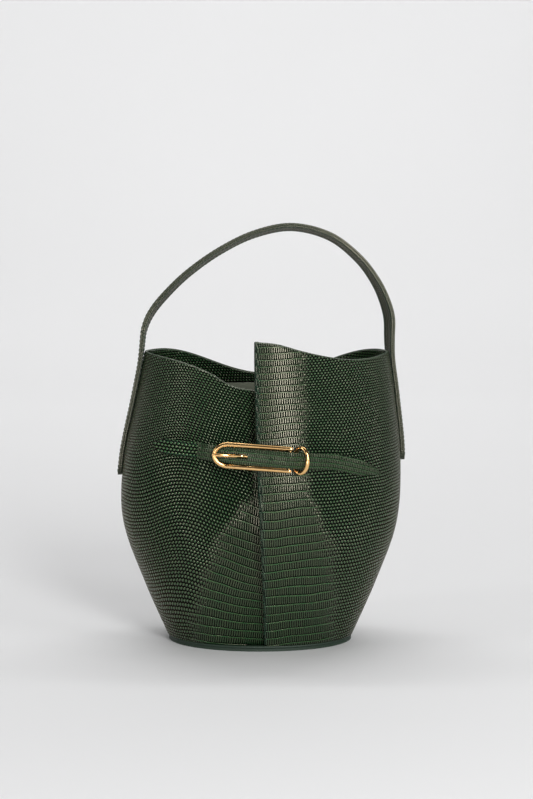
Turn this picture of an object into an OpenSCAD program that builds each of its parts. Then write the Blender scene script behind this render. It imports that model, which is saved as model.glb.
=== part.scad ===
// Bucket bag with a knife pleat, a belt with a long U-shaped buckle, and a flat top handle.
// The front of the bag faces -Y, +Z is up, and the origin is the centre of the base's underside.

/* [Body] */
// Half width of the body at even heights, from the base to the mouth
half_width = [77.7, 100, 117.3, 118.2, 110.5, 101.5]; // [60:1:140]
// Distance from the middle to the front wall at the same heights
front_depth = [57, 74, 86, 84, 74, 62]; // [50:1:110]
// Distance from the middle to the back wall at the same heights
back_depth = [57, 73, 84, 80, 68, 55]; // [50:1:110]
// Exponent of the oval plan at the same heights: 2 is an ellipse, less pinches the sides
roundness = [2.05, 2.15, 2.3, 2.3, 2.1, 1.9]; // [1.5:0.05:3]
// How far the mouth leans towards the right
mouth_shift = 5.6; // [0:1:12]
// Thickness of the wall leather
wall_t = 2.2; // [1.6:0.1:3]
// Height of the rim at the two sides
side_rim_z = 248; // [240:1:252]
// Height of the rim at the folded edge, where it is highest
peak_z = 260.5; // [252:0.5:264]

/* [Pleat] */
// Where the folded edge of the right half lies across the front
fold_x = 5.7; // [-5:0.1:10]
// Width of the leather folded back under the right half
pleat_w = 24; // [15:1:35]
// Radius of the outer fold at the base and at the mouth
outer_fold_r = [2.3, 3.4]; // [2.3:0.05:4]
// Radius of the hidden inner fold at even heights: the left half stands back by it at belt height
inner_fold_r = [0.4, 2.2, 5.6, 6.5, 3.6, 2]; // [0.3:0.1:7]
// How far the right half stands forward at the fold
fold_bulge = 4; // [0:0.5:8]
// Depth of the hollow beside the fold at belt height
dent = 4; // [0:0.5:8]

/* [Base] */
// Thickness of the outer base leather
base_t = 2.4; // [2:0.1:4]
// Height of the welt between the base and the wall
welt_h = 2.4; // [1.5:0.1:4]
// Thickness of the stiffening board
board_t = 2; // [1.5:0.1:2.3]
// Thickness of the inner lining
lining_t = 1.2; // [0.8:0.1:2]

/* [Handle] */
// Width of the handle strap
strap_w = 17; // [12:1:20]
// Thickness of each of the two handle layers
layer_t = 1.7; // [1.4:0.1:2.2]
// Lowest points of the sewn handle ends, left and right
end_low_z = [142, 154]; // [120:1:180]
// How far the arch leans back from upright, in degrees
lean = 10; // [0:1:15]

/* [Belt] */
// Width of the belt strap
belt_w = 13.4; // [12:0.2:14]
// Thickness of the belt strap
belt_t = 1.9; // [1.5:0.1:2]
// Height of the buckle's middle above the base
belt_z = 168.3; // [160:1:175]
// Slope of the buckle, down to the right, in degrees
belt_slope = 4.4; // [0:0.1:8]
// Thickness of the buckle frame's rod
rod_d = 3.3; // [2.6:0.1:3.6]
// Distance between the middles of the buckle's two rods
rod_gap = 18; // [17.6:0.2:20]
// Diameter of the buckle's cross pin
pin_d = 1.8; // [1.4:0.1:2]

/* [Hidden] */
leather = [0.07, 0.19, 0.11];
suede = [0.36, 0.38, 0.31];
thread = [0.10, 0.24, 0.15];
gold = [0.83, 0.63, 0.25];
top_z = 260;
wall_z0 = base_t + welt_h;
clear = 0.3;
facing_low_z = 215;

// ---- Curves -------------------------------------------------------------------------------------

function clamp01(v) = max(0, min(1, v));
function smooth(v) = let (c = clamp01(v)) c * c * (3 - 2 * c);
function mix(p, q, v) = p * (1 - v) + q * v;
function unit(v) = v / norm(v);

// Smooth curve through a list of numbers or points, with u from 0 to 1 over the whole list
function spline(list, u) =
    let (n = len(list) - 1, s = clamp01(u) * n, i = min(n - 1, floor(s)), t = s - i,
         p0 = i == 0 ? 2 * list[0] - list[1] : list[i - 1], p1 = list[i], p2 = list[i + 1],
         p3 = i + 2 > n ? 2 * list[n] - list[n - 1] : list[i + 2])
    0.5 * (2 * p1 + (p2 - p0) * t + (2 * p0 - 5 * p1 + 4 * p2 - p3) * t * t
           + (3 * p1 - p0 - 3 * p2 + p3) * t * t * t);

// ---- Body plan ----------------------------------------------------------------------------------

function width_at(z) = spline(half_width, z / top_z);
function shift_at(z) = mouth_shift * smooth((z - 100) / 150);
function oval_y(x, z, depth) =
    let (n = spline(roundness, z / top_z), r = min(1, abs(x - shift_at(z)) / width_at(z)))
    depth * pow(max(0, 1 - pow(r, n)), 1 / n);
function front_y(x, z) = -oval_y(x, z, spline(front_depth, z / top_z));
function back_y(x, z) = oval_y(x, z, spline(back_depth, z / top_z));
function right_x(z) = shift_at(z) + width_at(z);
function left_x(z) = shift_at(z) - width_at(z);

// ---- Pleated front ------------------------------------------------------------------------------

function fold_at(z) = fold_x - 7 * smooth(z / top_z);
function outer_r(z) = mix(outer_fold_r[0], outer_fold_r[1], smooth(z / 160));
function inner_r(z) = spline(inner_fold_r, z / top_z);
function pleat_depth(z) = 2 * outer_r(z) + 2 * inner_r(z);
function bulge_at(z) = fold_bulge * smooth(z / 60);
function right_y(x, z) = front_y(x, z) - bulge_at(z) * smooth(1 - (x - fold_at(z)) / 75);
function hollow(x, z) =
    let (v = clamp01((x + 70) / (fold_at(z) + 70)))
    dent * sin(180 * v * v) * smooth(z / 90) * (1 - 0.6 * smooth((z - 170) / 80));
function left_y(x, z) =
    let (edge = fold_at(z), step = pleat_depth(z) - bulge_at(z))
    x > edge ? right_y(x, z) + pleat_depth(z)
             : front_y(x, z) + step * smooth((x + 60) / (edge + 60)) + hollow(x, z);

// Steps along the front: right half, outer fold, underlay, inner fold, underlay, left half
SIDE = 18;
FOLD = 5;
UNDER = 2;
FRONT = 2 * (SIDE + FOLD + UNDER);
REAR = 2 * SIDE;
function front_point(i, z) =
    let (r1 = outer_r(z), r2 = inner_r(z), edge = fold_at(z), far = edge + pleat_w,
         a = i - SIDE, b = a - FOLD, c = b - UNDER, d = c - FOLD, e = d - UNDER)
    a <= 0 ? let (x = edge + (right_x(z) - edge) * cos(90 * i / SIDE)) [x, right_y(x, z)]
    : b <= 0 ? let (t = 180 * a / FOLD) [edge - r1 * sin(t), right_y(edge, z) + r1 - r1 * cos(t)]
    : c <= 0 ? let (x = mix(edge, far, b / UNDER)) [x, right_y(x, z) + 2 * r1]
    : d <= 0 ? let (t = 180 * c / FOLD)
               [far + r2 * sin(t), right_y(far, z) + 2 * r1 + r2 - r2 * cos(t)]
    : e <= 0 ? let (x = mix(far, edge, d / UNDER)) [x, left_y(x, z)]
    : let (x = edge - (edge - left_x(z)) * sin(90 * e / SIDE)) [x, left_y(x, z)];

function oval_x(t, z) =
    let (c = cos(t)) shift_at(z) + width_at(z) * sign(c) * pow(abs(c), 2 / spline(roundness, z / top_z));
function rear_point(i, z) = let (x = oval_x(180 * i / REAR, z)) [x, back_y(x, z)];

// The lining runs round the back and bridges the pleat inside the front
LINING = 96;
function bridge_y(x, z) =
    let (far = fold_at(z) + pleat_w + 14)
    x < far ? left_y(x, z) : right_y(x, z) + pleat_depth(z) * smooth(1 - (x - far) / 35);
function lining_point(i, z) =
    let (t = 360 * ((i + LINING) % LINING) / LINING, x = oval_x(t, z))
    [x, t <= 180 ? back_y(x, z) : bridge_y(x, z)];

// ---- Rim ----------------------------------------------------------------------------------------

function right_rim(x) =
    spline([peak_z, 258.7, 253.2, 248.3, 245, 244.8, side_rim_z], (x + 5) / 114);
left_low_z = 219.8;
function left_rim(x) = spline([side_rim_z, 245.5, 241.5, 234.5, 223.5, left_low_z], (x + 97) / 95);
function rear_rim(x) = side_rim_z - 25 * smooth(1 - abs(x - 8) / 95);
function front_rim(i, x) =
    let (b = i - SIDE - FOLD, e = b - 2 * UNDER - FOLD)
    b <= 0 ? right_rim(x) : e <= 0 ? mix(peak_z, left_low_z, b / (2 * UNDER + FOLD)) : left_rim(x);

// ---- Shells -------------------------------------------------------------------------------------

FRONT_SIDE = 0;
REAR_SIDE = 1;
LINING_SIDE = 2;
function plan(side, i, z) =
    side == FRONT_SIDE ? front_point(i, z) : side == REAR_SIDE ? rear_point(i, z) : lining_point(i, z);
function rim(side, i, x) =
    side == FRONT_SIDE ? front_rim(i, x)
    : side == REAR_SIDE ? rear_rim(x) : facing_low_z;
// Outward direction of a wall in plan: the two panels end square on the side seams
function outward(side, i, z) =
    let (last = side == FRONT_SIDE ? FRONT : REAR)
    side != LINING_SIDE && (i == 0 || i == last) ? [i == 0 ? 1 : -1, 0]
    : let (d = unit(plan(side, i + 1, z) - plan(side, i - 1, z)))
      side == FRONT_SIDE ? [-d[1], d[0]] : [d[1], -d[0]];

function reversed(f) = [for (k = [len(f) - 1:-1:0]) f[k]];

// A wall of even thickness t, set back by depth, from z0 up to the rim less drop.
module shell(side, first, last, levels, z0, drop, depth, t, closed = false) {
    cols = last - first + 1;
    rows = levels + 1;
    points = [for (face = [0, 1]) for (i = [first:last]) for (j = [0:levels])
        let (x = plan(side, i, top_z)[0], z = mix(z0, rim(side, i, x) - drop, j / levels),
             p = plan(side, i, z) - (depth + face * t) * outward(side, i, z))
        [p[0], p[1], z]];
    inner = cols * rows;
    spans = closed ? cols - 1 : cols - 2;
    faces = [
        for (i = [0:spans]) for (j = [0:levels - 1])
            let (a = i * rows + j, b = ((i + 1) % cols) * rows + j, quad = [a, b, b + 1, a + 1])
            each [quad, reversed([for (k = quad) k + inner])],
        for (i = [0:spans]) for (j = [0, levels])
            let (a = i * rows + j, b = ((i + 1) % cols) * rows + j, quad = [a, a + inner, b + inner, b])
            j == 0 ? quad : reversed(quad),
        if (!closed) for (j = [0:levels - 1]) for (i = [0, cols - 1])
            let (a = i * rows + j, quad = [a, a + 1, a + 1 + inner, a + inner])
            i == 0 ? quad : reversed(quad)];
    polyhedron(points, side == FRONT_SIDE ? faces : [for (f = faces) reversed(f)], convexity = 10);
}

module front_panel() {
    color(leather) translate([0, -clear / 4, 0])
        shell(FRONT_SIDE, 0, FRONT, 14, wall_z0, 0, 0, wall_t);
}

module rear_panel() {
    color(leather) translate([0, clear / 4, 0])
        shell(REAR_SIDE, 0, REAR, 14, wall_z0, 0, 0, wall_t);
}

// Leather facing inside the back of the mouth
module rear_facing() {
    color(leather) shell(REAR_SIDE, 2, REAR - 2, 3, facing_low_z, 1, wall_t + clear, lining_t);
}

module lining() {
    color(suede) shell(LINING_SIDE, 0, LINING - 1, 10, wall_z0 + board_t + lining_t, 0.5,
                       wall_t + 3 * clear, lining_t, closed = true);
}

// ---- Base ---------------------------------------------------------------------------------------

function ring_outline(grow) =
    [for (t = [0:5:355])
        let (x = oval_x(t, 0), p = [x, t <= 180 ? back_y(x, 0) : front_y(x, 0)])
        p + grow * unit(p)];

module base_panel() {
    color(leather) linear_extrude(base_t) polygon(ring_outline(0.8));
}

welt_w = 3;
module base_welt() {
    color(leather) translate([0, 0, base_t]) linear_extrude(welt_h) difference() {
        polygon(ring_outline(1.2));
        polygon(ring_outline(1.2 - welt_w));
    }
}

module base_board() {
    color([0.45, 0.40, 0.33]) translate([0, 0, base_t]) linear_extrude(board_t)
        polygon(ring_outline(-welt_w));
}

base_lining_z = wall_z0 + 0.5;
module base_lining() {
    color(suede) translate([0, 0, base_lining_z]) linear_extrude(lining_t)
        polygon([for (i = [0:LINING - 1])
            let (p = lining_point(i, base_lining_z + lining_t)) p - (wall_t + 1.5) * unit(p)]);
}

// ---- Handle -------------------------------------------------------------------------------------

strap_t = 2 * layer_t;
end_sign = [-1, 1];
// Middle of each sewn end across the side
end_y = [0, 8.5];
// The strap bends just above the rim, about the line through these points
pivot_z = side_rim_z + strap_w / 2 + 1;

// Wall's outer surface at the sides, from the distance y in front of (-) or behind (+) the side seam
function side_x(s, y, z) =
    let (n = spline(roundness, z / top_z), d = spline(y < 0 ? front_depth : back_depth, z / top_z))
    shift_at(z) + end_sign[s] * width_at(z) * pow(1 - pow(abs(y) / d, n), 1 / n);
function end_point(s, y, z, out) =
    let (x = side_x(s, y, z), slope = side_x(s, y + 0.5, z) - side_x(s, y - 0.5, z),
         n = unit([1, -slope]) * end_sign[s])
    [x + n[0] * out, y + n[1] * out, z];
function pivot(s) =
    let (p = end_point(s, end_y[s], side_rim_z, clear + layer_t)) [p[0], p[1], pivot_z];
pivots = [pivot(0), pivot(1)];

// One sewn end: a strip that follows the wall's side, with a narrowed lower tip
END_ROWS = 12;
END_COLS = 6;
module handle_end(s) {
    low = end_low_z[s];
    points = [for (out = [clear, clear + strap_t]) for (j = [0:END_ROWS]) for (k = [0:END_COLS])
        let (z = mix(low, side_rim_z + 0.4, pow(j / END_ROWS, 1.3)), w = strap_w / 2 - max(0, 3 - (z - low)))
        end_point(s, end_y[s] + mix(-w, w, k / END_COLS), z, out)];
    row = END_COLS + 1;
    back = row * (END_ROWS + 1);
    faces = [
        for (j = [0:END_ROWS - 1]) for (k = [0:END_COLS - 1])
            let (a = j * row + k, quad = [a, a + row, a + row + 1, a + 1])
            each [quad, reversed([for (q = quad) q + back])],
        for (k = [0:END_COLS - 1]) for (j = [0, END_ROWS])
            let (a = j * row + k, quad = [a, a + 1, a + 1 + back, a + back])
            j == 0 ? quad : reversed(quad),
        for (j = [0:END_ROWS - 1]) for (k = [0, END_COLS])
            let (a = j * row + k, quad = [a, a + back, a + row + back, a + row])
            k == 0 ? quad : reversed(quad)];
    color(leather) polyhedron(points, s == 1 ? faces : [for (f = faces) reversed(f)], convexity = 4);
}

module handle_end_left() { handle_end(0); }
module handle_end_right() { handle_end(1); }

// Thread along both edges of the sewn ends
module handle_stitches() {
    stitch_l = 3;
    pitch = 5;
    inset = 2.5;
    color(thread) for (s = [0, 1], z = [end_low_z[s] + 8:pitch:side_rim_z - 6], side = [-1, 1]) {
        y = end_y[s] + side * (strap_w / 2 - inset);
        p = end_point(s, y, z, clear + strap_t + clear);
        q = end_point(s, y, z + 1, clear + strap_t + clear);
        translate(p) rotate([0, atan(q[0] - p[0]), 0])
            cylinder(d = 0.4, h = stitch_l, center = true, $fn = 8);
    }
}

// Middle line of the arch, from the left pivot to the right one, before it leans back
arch = [[pivots[0][0], pivot_z], [-98.6, 266], [-93.4, 278.5], [-82, 293.5], [-61.5, 313.5],
        [-34, 333], [-4, 347.5], [28, 353.5], [60, 345.5], [84, 327], [99, 307], [107.5, 288],
        [111, 272], [pivots[1][0], pivot_z]];
// Twist of the strap about the arch at the same points, in degrees
arch_twist = [0, -2, -5, -6, -5, -4, -4, -5, -7, -10, -14, -19, -22, -20];
ARCH = 44;
function arch_frame(k) =
    let (u = k / ARCH, p = spline(arch, u),
         d = k == 0 ? [0, 1] : k == ARCH ? [0, -1]
             : unit(spline(arch, u + 0.004) - spline(arch, u - 0.004)),
         twist = spline(arch_twist, u), n = [-d[1], 0, d[0]], b = [0, 1, 0])
    [[p[0], mix(pivots[0][1], pivots[1][1], smooth(u)), p[1]],
     n * cos(twist) - b * sin(twist), b * cos(twist) + n * sin(twist)];

// Section k of the strap: its middle, outward and width directions, and half width. The sections
// before 0 and after ARCH round off the two ends, below the pivots.
ROUND = 7;
function strap_frame(k) =
    let (f = arch_frame(min(ARCH, max(0, k))), a = 90 * max(0, -k, k - ARCH) / ROUND)
    [f[0] - [0, 0, strap_w / 2 * sin(a)], f[1], f[2], max(0.5, strap_w / 2 * cos(a))];

// One layer of the strap between two distances from its middle surface. Both layers split their
// shared face along the same diagonals.
module strap_layer(low, high) {
    last = ARCH + 2 * ROUND;
    points = [for (k = [-ROUND:ARCH + ROUND]) let (f = strap_frame(k), w = f[3])
        for (c = [[-w, low], [w, low], [w, high], [-w, high]]) f[0] + c[0] * f[2] + c[1] * f[1]];
    sides = [for (k = [0:last - 1]) for (c = [0:3])
        let (a = 4 * k + c, b = 4 * k + (c + 1) % 4)
        each c < 2 ? [[a, a + 4, b + 4], [a, b + 4, b]] : [[a, a + 4, b], [a + 4, b + 4, b]]];
    polyhedron(points, concat(sides, [[0, 1, 2, 3], [for (c = [3:-1:0]) 4 * last + c]]), convexity = 8);
}

// The arch leans back about the line through both pivots
pivot_line = unit(pivots[1] - pivots[0]);
module lean_back() {
    translate(pivots[0]) rotate(a = -lean, v = pivot_line) translate(-pivots[0]) children();
}

glue = 0.04;
module handle_outer() {
    color(leather) lean_back() strap_layer(glue, layer_t);
}

module handle_inner() {
    color(leather) lean_back() strap_layer(-layer_t, -glue);
}

// ---- Belt ---------------------------------------------------------------------------------------

// Everything of the belt is laid out level and then sloped about the middle of the bag
module belt_space() {
    translate([0, 0, belt_z]) rotate([0, belt_slope, 0]) children();
}

// The free end droops below the line of the buckle
function droop(x) = 10 * pow(max(0, (x - 42) / 59), 2);
// The most forward point of the wall behind the strap at x
function wall_y(x) = min([for (side = [-1, 0, 1])
    let (z = belt_z - x * tan(belt_slope) - droop(x) + side * belt_w / 2)
    x < fold_at(z) ? left_y(x, z) : right_y(x, z)]);
function on_wall(x) =
    let (slope = wall_y(x + 0.5) - wall_y(x - 0.5))
    [x, wall_y(x) - (clear + belt_t / 2) * sqrt(1 + slope * slope)];

// Middle line of the belt strap in plan, from the sewn left end to the free right end. It goes
// behind the round end of the frame and over its pin.
pin_pos = [24.5, -92.2];
toe_x = -28;
slot_x = -18;
spare_x = 9.5;
belt_path = concat([for (x = [-88, -78, -69, -60, -51]) on_wall(x)],
                   [[-42, -83.5], [-34, -88], [-24, -90.6], [-12, -92.9], [2, -94.1], [14, -94.9],
                    [24.5, -95.7], [31, -93.9], [37.5, -91.5], [47, -87.2]],
                   [for (x = [60, 70, 80, 90, 101]) on_wall(x) - [0, 0.3]]);
BELT = 64;

// A strip of leather standing on edge: the path is its middle line in plan
function strip(path, steps, t) =
    let (mid = [for (k = [0:steps]) spline(path, k / steps)],
         nrm = [for (k = [0:steps])
             let (d = unit(mid[min(steps, k + 1)] - mid[max(0, k - 1)])) [-d[1], d[0]]])
    concat([for (k = [0:steps]) mid[k] + nrm[k] * t / 2],
           [for (k = [steps:-1:0]) mid[k] - nrm[k] * t / 2]);

// Half width of the strap: rounded at the sewn left end, pointed at the free end
belt_ends = [belt_path[0][0], belt_path[len(belt_path) - 1][0]];
function belt_half(x) =
    belt_w / 2 * min(sqrt(clamp01((x - belt_ends[0]) / 11)), pow(clamp01((belt_ends[1] - x) / 18), 0.62));
module belt_face() {
    xs = concat([for (x = [0, 0.5, 2, 4.5, 8, 11]) belt_ends[0] + x], [for (x = [46:6:76]) x],
                [for (x = [17, 13, 9, 5, 2, 0.5, 0]) belt_ends[1] - x]);
    last = len(xs) - 1;
    polygon(concat([for (k = [0:last]) [xs[k], belt_half(xs[k]) - droop(xs[k])]],
                   [for (k = [last - 1:-1:1]) [xs[k], -belt_half(xs[k]) - droop(xs[k])]]));
}

module belt_strap() {
    slot_l = 16;
    slot_h = 3.6;
    hole_d = 2.4;
    color(leather) belt_space() difference() {
        intersection() {
            linear_extrude(50, center = true) polygon(strip(belt_path, BELT, belt_t));
            rotate([90, 0, 0]) linear_extrude(120) belt_face();
        }
        translate([slot_x, -82, 0]) rotate([90, 0, 0]) linear_extrude(20)
            square([slot_l, slot_h], center = true);
        translate([spare_x, -85, 0]) rotate([90, 0, 0]) cylinder(d = hole_d, h = 20, $fn = 32);
    }
}

// Thread across the strap where its sewn end stops, and along its edges
module belt_stitches() {
    count = 6;
    stitch_d = 0.5;
    stitch_l = 2.6;
    color(thread) belt_space() for (k = [0:count - 1], side = [-1, 1]) {
        p = spline(belt_path, mix(0.03, 0.17, k / count));
        d = unit(spline(belt_path, mix(0.03, 0.17, k / count) + 0.005) - p);
        face = p + [d[1], -d[0]] * (belt_t / 2 + 0.3);
        translate([face[0], face[1], side * (belt_half(p[0]) - 1.8)])
            rotate([0, 0, atan2(d[1], d[0])]) rotate([0, 90, 0])
            cylinder(d = stitch_d, h = stitch_l, center = true, $fn = 8);
    }
}

// Leather loop that holds the pin on the right half of the front
chape_t = 2;
chape_path = [pin_pos, [30, -90.9], [37.5, -88.6], [44, -85.2], [49, -82.9 - 0.4]];
module belt_chape() {
    eye_slot = 5.8;
    chape_w = 12;
    color(leather) belt_space() difference() {
        union() {
            linear_extrude(chape_w, center = true) polygon(strip(chape_path, 16, chape_t));
            translate([pin_pos[0], pin_pos[1], 0]) cylinder(r = 2, h = chape_w, center = true, $fn = 48);
        }
        translate([pin_pos[0], pin_pos[1], 0]) {
            cylinder(d = pin_d, h = chape_w + 2, center = true, $fn = 48);
            cube([9, 8, eye_slot], center = true);
        }
    }
}

// ---- Buckle -------------------------------------------------------------------------------------

// The frame lies in the plane of the pin: two rods and a half-round end
module buckle_frame() {
    rod_end = pin_pos[0] + 1.8;
    color(gold) belt_space() translate([0, pin_pos[1], 0]) difference() {
        union() {
            translate([toe_x, 0, 0]) rotate([90, 0, 0]) rotate([0, 0, 90])
                rotate_extrude(angle = 180, $fn = 96)
                translate([rod_gap / 2, 0]) circle(d = rod_d, $fn = 32);
            for (side = [-1, 1]) translate([toe_x, 0, side * rod_gap / 2]) rotate([0, 90, 0])
                cylinder(d = rod_d, h = rod_end - toe_x, $fn = 32);
        }
        translate([pin_pos[0], 0, 0]) cylinder(d = pin_d + 0.1, h = 40, center = true, $fn = 48);
    }
}

module buckle_pin() {
    color(gold) belt_space() translate([pin_pos[0], pin_pos[1], 0])
        cylinder(d = pin_d, h = rod_gap + rod_d, center = true, $fn = 48);
}

// The prong turns on the pin, runs behind the strap, and rests on the round end
prong_path = [[pin_pos[0] - 1.5, pin_pos[1]], [14, -92.1], [2, -91.6], [-10, -90.4], [-15, -90.4],
              [-20, -92.1], [-26, -94.2], [-33, -95], [-38.8, -95]];
module buckle_prong() {
    prong_w = 2.6;
    prong_t = 1.5;
    color(gold) belt_space() difference() {
        union() {
            linear_extrude(prong_w, center = true) polygon(strip(prong_path, 32, prong_t));
            translate([pin_pos[0], pin_pos[1], 0]) cylinder(r = 1.9, h = 5, center = true, $fn = 48);
        }
        translate([pin_pos[0], pin_pos[1], 0]) cylinder(d = pin_d + 0.1, h = 8, center = true, $fn = 48);
    }
}

// Oval wire ring round the strap and the loop. It hangs at an angle, its front swung to the right.
keeper_pos = [33.4, -91.6];
keeper_half = [7.2, 10.4];
keeper_swing = 39;
keeper_d = 3.4;
RING = 48;
RING_SIDES = 12;
// The strap's direction at the ring, along which it slides
keeper_dir = unit([1, 0.3]);
module keeper_ring() {
    flat = [cos(keeper_swing), -sin(keeper_swing), 0];
    side = [sin(keeper_swing), cos(keeper_swing), 0];
    points = [for (i = [0:RING - 1]) for (j = [0:RING_SIDES - 1])
        let (t = 360 * i / RING, v = 360 * j / RING_SIDES,
             mid = flat * keeper_half[0] * cos(t) + [0, 0, keeper_half[1] * sin(t)],
             out = unit(flat * keeper_half[1] * cos(t) + [0, 0, keeper_half[0] * sin(t)]))
        [keeper_pos[0], keeper_pos[1], 0] + mid + (out * cos(v) + side * sin(v)) * keeper_d / 2];
    faces = [for (i = [0:RING - 1]) for (j = [0:RING_SIDES - 1])
        let (a = i * RING_SIDES, b = ((i + 1) % RING) * RING_SIDES, k = (j + 1) % RING_SIDES)
        [a + j, a + k, b + k, b + j]];
    color(gold) belt_space() polyhedron(points, faces, convexity = 4);
}

front_panel();
rear_panel();
rear_facing();
lining();
base_panel();
base_welt();
base_board();
base_lining();
handle_end_left();
handle_end_right();
handle_stitches();
handle_outer();
handle_inner();
belt_strap();
belt_stitches();
belt_chape();
buckle_frame();
buckle_pin();
buckle_prong();
keeper_ring();
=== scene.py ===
"""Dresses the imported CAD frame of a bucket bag: lizard-grain leather shells, handle, belt and gold buckle."""
import math
import bpy
import numpy as np
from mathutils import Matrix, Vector


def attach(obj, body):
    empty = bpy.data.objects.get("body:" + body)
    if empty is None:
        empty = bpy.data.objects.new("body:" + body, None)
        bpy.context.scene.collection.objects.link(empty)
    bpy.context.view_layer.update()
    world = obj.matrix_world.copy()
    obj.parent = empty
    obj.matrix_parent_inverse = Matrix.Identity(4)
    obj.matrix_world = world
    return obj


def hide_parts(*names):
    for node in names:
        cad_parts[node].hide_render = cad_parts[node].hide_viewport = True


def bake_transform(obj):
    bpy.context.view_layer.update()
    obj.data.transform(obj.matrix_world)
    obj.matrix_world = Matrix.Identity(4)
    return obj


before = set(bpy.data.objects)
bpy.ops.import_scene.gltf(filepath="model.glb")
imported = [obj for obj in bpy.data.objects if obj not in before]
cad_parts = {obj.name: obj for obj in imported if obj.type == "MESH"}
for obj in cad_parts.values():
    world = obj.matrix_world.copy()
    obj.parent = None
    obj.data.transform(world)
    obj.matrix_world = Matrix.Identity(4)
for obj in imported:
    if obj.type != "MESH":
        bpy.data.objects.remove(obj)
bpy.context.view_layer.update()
MM = 0.001

# ---- Driving sizes of the bag, in millimetres, as in the CAD source --------------------------------

HALF_WIDTH = [77.7, 100, 117.3, 118.2, 110.5, 101.5]
FRONT_DEPTH = [57, 74, 86, 84, 74, 62]
BACK_DEPTH = [57, 73, 84, 80, 68, 55]
ROUNDNESS = [2.05, 2.15, 2.3, 2.3, 2.1, 1.9]
TOP_Z = 260
MOUTH_SHIFT = 5.6
WALL_T = 2.2
WALL_Z0 = 4.8
CLEAR = 0.3
SIDE_RIM_Z = 248
PEAK_Z = 260.5
LEFT_LOW_Z = 219.8
FACING_LOW_Z = 215
LINING_T = 1.2
FOLD_X = 5.7
PLEAT_W = 24
FOLD_BULGE = 4
DENT = 4
INNER_FOLD_R = [0.4, 2.2, 5.6, 6.5, 3.6, 2]
STRAP_W = 17
LAYER_T = 1.7
END_LOW_Z = [142, 154]
END_Y = [0, 8.5]
LEAN = 10
BELT_W = 13.4
BELT_T = 1.9
BELT_Z = 168.3
BELT_SLOPE = 4.4
ROD_D = 3.3
ROD_GAP = 18
PIN = (24.5, -92.2)
WELT_W = 3
WELT_OUT = 1.2
WELT_Z = (2.4, 4.8)
# Middle of the keeper ring in the belt's level layout, its half width and half height, swing and wire
KEEPER_POS = (33.4, -91.6)
KEEPER_HALF = (7.2, 10.4)
KEEPER_SWING = 39
KEEPER_D = 3.4

# ---- Curves ---------------------------------------------------------------------------------------


def smooth(v):
    c = np.clip(v, 0, 1)
    return c * c * (3 - 2 * c)


def mix(p, q, v):
    return p * (1 - v) + q * v


def unit(v):
    return v / np.linalg.norm(v, axis=-1, keepdims=True)


def spline(values, u):
    """Smooth curve through a list of numbers or points, with u from 0 to 1 over the whole list."""
    a = np.asarray(values, float)
    last = len(a) - 1
    s = np.clip(u, 0, 1) * last
    i = np.minimum(last - 1, np.floor(s)).astype(int)
    t = s - i
    if a.ndim == 2:
        t = np.asarray(t)[..., None]
    e = np.concatenate([[2 * a[0] - a[1]], a, [2 * a[-1] - a[-2]]])
    p0, p1, p2, p3 = e[i], e[i + 1], e[i + 2], e[i + 3]
    return 0.5 * (2 * p1 + (p2 - p0) * t + (2 * p0 - 5 * p1 + 4 * p2 - p3) * t ** 2
                  + (3 * p1 - p0 - 3 * p2 + p3) * t ** 3)


# ---- Body plan ------------------------------------------------------------------------------------


def width_at(z):
    return spline(HALF_WIDTH, z / TOP_Z)


def shift_at(z):
    return MOUTH_SHIFT * smooth((z - 100) / 150)


def oval_y(x, z, depth):
    n = spline(ROUNDNESS, z / TOP_Z)
    r = np.minimum(1, np.abs(x - shift_at(z)) / width_at(z))
    return depth * np.maximum(0, 1 - r ** n) ** (1 / n)


def front_y(x, z):
    return -oval_y(x, z, spline(FRONT_DEPTH, z / TOP_Z))


def back_y(x, z):
    return oval_y(x, z, spline(BACK_DEPTH, z / TOP_Z))


def right_x(z):
    return shift_at(z) + width_at(z)


def left_x(z):
    return shift_at(z) - width_at(z)


def fold_at(z):
    return FOLD_X - 7 * smooth(z / TOP_Z)


def outer_r(z):
    return mix(2.3, 3.4, smooth(z / 160))


def inner_r(z):
    return spline(INNER_FOLD_R, z / TOP_Z)


def pleat_depth(z):
    return 2 * outer_r(z) + 2 * inner_r(z)


def bulge_at(z):
    return FOLD_BULGE * smooth(z / 60)


def right_y(x, z):
    return front_y(x, z) - bulge_at(z) * smooth(1 - (x - fold_at(z)) / 75)


def hollow(x, z):
    v = np.clip((x + 70) / (fold_at(z) + 70), 0, 1)
    return DENT * np.sin(np.pi * v * v) * smooth(z / 90) * (1 - 0.6 * smooth((z - 170) / 80))


def left_y(x, z):
    edge = fold_at(z)
    step = pleat_depth(z) - bulge_at(z)
    y = front_y(x, z) + step * smooth((x + 60) / (edge + 60)) + hollow(x, z)
    return np.where(x > edge, right_y(x, z) + pleat_depth(z), y)


def front_point(kind, f, z):
    """Point of the pleated front at height z: kind names the stretch and f runs from 0 to 1 along it."""
    r1, r2, edge = outer_r(z), inner_r(z), fold_at(z)
    far = edge + PLEAT_W
    if kind == "right":
        x = edge + (right_x(z) - edge) * math.cos(math.pi / 2 * f)
        return x, right_y(x, z)
    if kind == "outer":
        t = math.pi * f
        return edge - r1 * math.sin(t), right_y(edge, z) + r1 - r1 * math.cos(t)
    if kind == "under":
        x = mix(edge, far, f)
        return x, right_y(x, z) + 2 * r1
    if kind == "inner":
        t = math.pi * f
        return far + r2 * math.sin(t), right_y(far, z) + 2 * r1 + r2 - r2 * math.cos(t)
    if kind == "lower":
        x = mix(far, edge, f)
        return x, left_y(x, z)
    x = edge - (edge - left_x(z)) * math.sin(math.pi / 2 * f)
    return x, left_y(x, z)


def oval_x(t, z):
    c = np.cos(t)
    return shift_at(z) + width_at(z) * np.sign(c) * np.abs(c) ** (2 / spline(ROUNDNESS, z / TOP_Z))


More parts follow.
